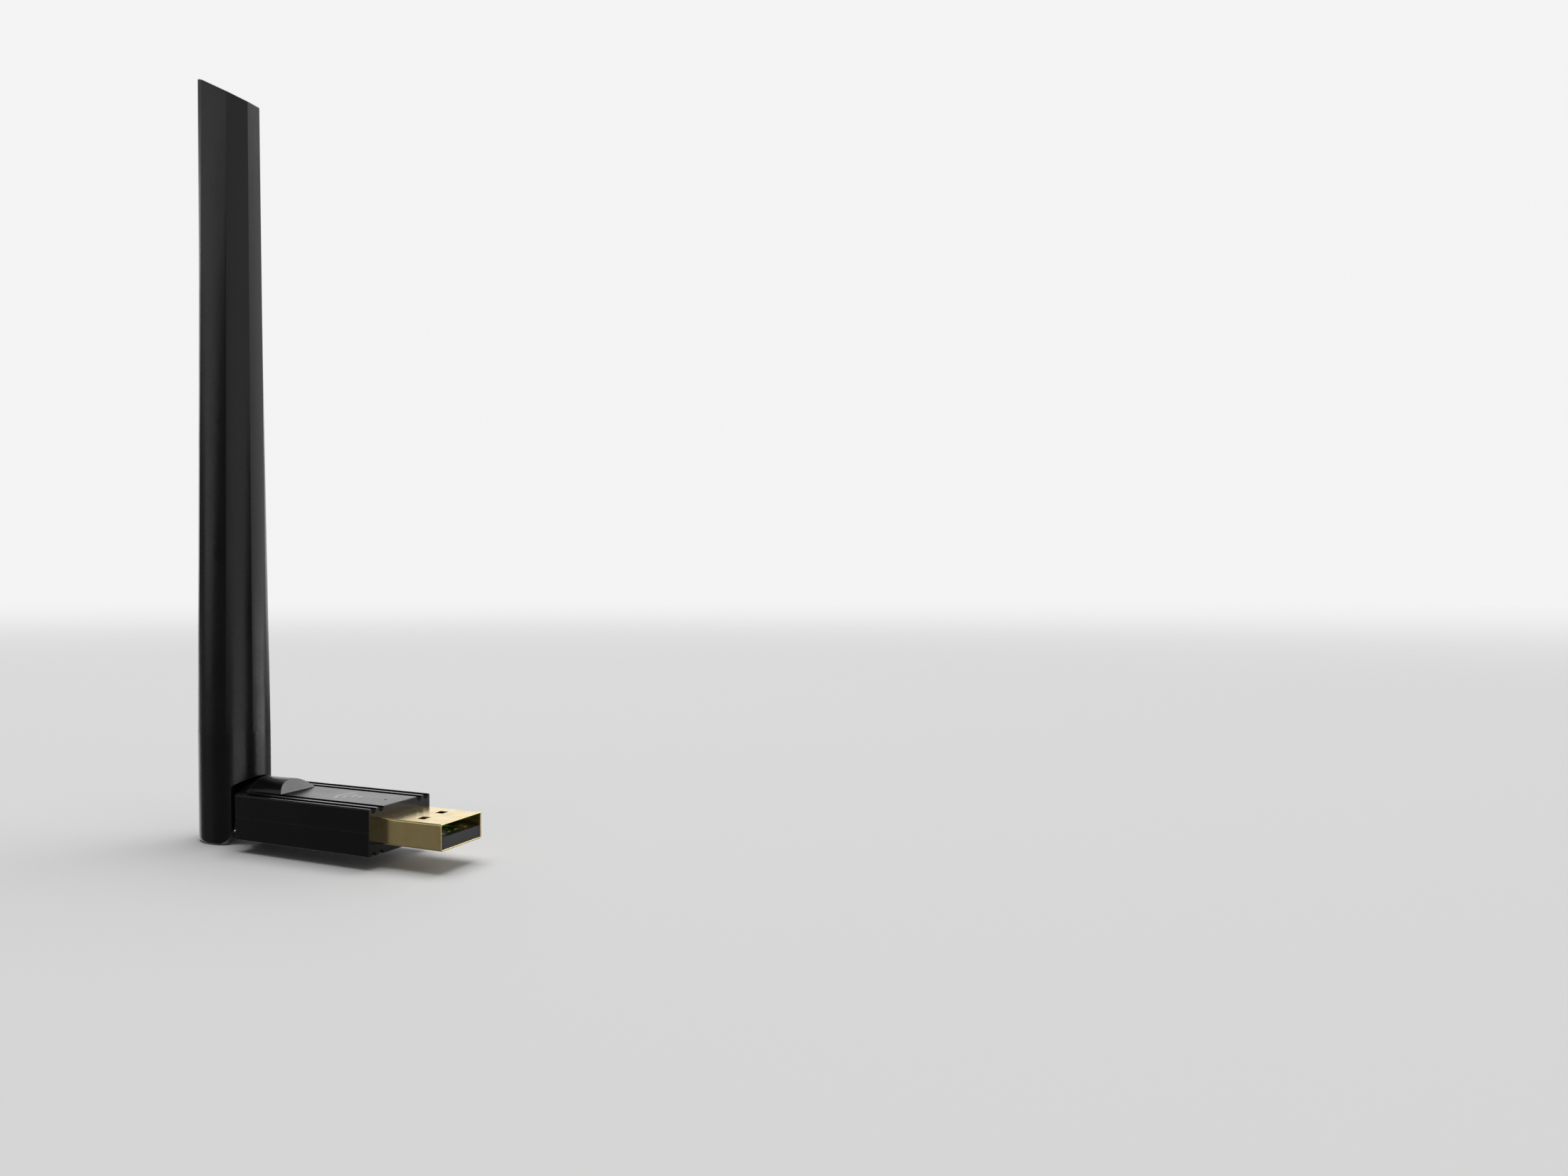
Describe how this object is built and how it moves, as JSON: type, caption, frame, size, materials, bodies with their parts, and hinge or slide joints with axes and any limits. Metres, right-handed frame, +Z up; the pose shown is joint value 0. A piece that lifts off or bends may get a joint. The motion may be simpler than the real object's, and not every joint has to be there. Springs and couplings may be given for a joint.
{
  "type": "usb wifi adapter",
  "caption": "USB wireless adapter: flat grooved case with a type A plug at one end and a slant-topped paddle antenna on a swivelling, folding knuckle at the other.",
  "frame": {"origin": "middle of the case face that the USB plug comes out of", "axes": "+X out along the plug, +Z up along the raised antenna, Y across the case"},
  "size_m": [0.0583, 0.0174, 0.1432],
  "materials": {
    "case_black": "satin black ABS with a fine grain",
    "antenna_black": "satin black moulded plastic",
    "gold_plate": "polished pale gold plating",
    "insulator_black": "matt black moulded plastic",
    "contact_gold": "polished gold plating over copper",
    "board_green": "green solder mask on glass epoxy",
    "chip_black": "matt black moulding compound",
    "tinned_steel": "satin tin plating",
    "ferrite_grey": "matt grey ferrite",
    "ceramic_tan": "matt fired ceramic",
    "led_white": "milky cast resin",
    "light_pipe": "clear polished acrylic",
    "coax_jacket": "smooth black fluoropolymer jacket",
    "solder": "bright solder",
    "ring_rubber": "matt black rubber",
    "bare_copper": "bare copper"
  },
  "bodies": {
    "adapter": {"upper_shell": "case_black", "lower_shell": "case_black", "usb_plug_shell": "gold_plate", "usb_insulator": "insulator_black", "usb_contacts": "contact_gold", "main_pcb": "board_green", "wifi_chip": "chip_black", "rf_shield_can": "tinned_steel", "crystal_oscillator": "tinned_steel", "voltage_regulator": "chip_black", "power_inductor": "ferrite_grey", "memory_chip": "chip_black", "chip_passives": "ceramic_tan", "status_led": "led_white", "led_light_pipe": "light_pipe", "body_coax": "coax_jacket", "body_coax_solder": "solder"},
    "knuckle": {"swivel_knuckle": "antenna_black", "swivel_friction_ring": "ring_rubber", "knuckle_coax": "coax_jacket"},
    "antenna": {"antenna_base": "antenna_black", "antenna_sleeve": "antenna_black", "antenna_coax": "coax_jacket", "radiator_board": "board_green", "radiator_copper": "bare_copper", "antenna_coax_solder": "solder"}
  },
  "joints": [
    {"name": "antenna_swivel", "type": "hinge", "parent": "adapter", "child": "knuckle", "pos_m": [-0.03035, 0, 0], "axis": [1, 0, 0], "range_deg": [-90, 90]},
    {"name": "antenna_fold", "type": "hinge", "parent": "knuckle", "child": "antenna", "pos_m": [-0.03885, 0, 0], "axis": [0, -1, 0], "range_deg": [0, 90]}
  ]
}
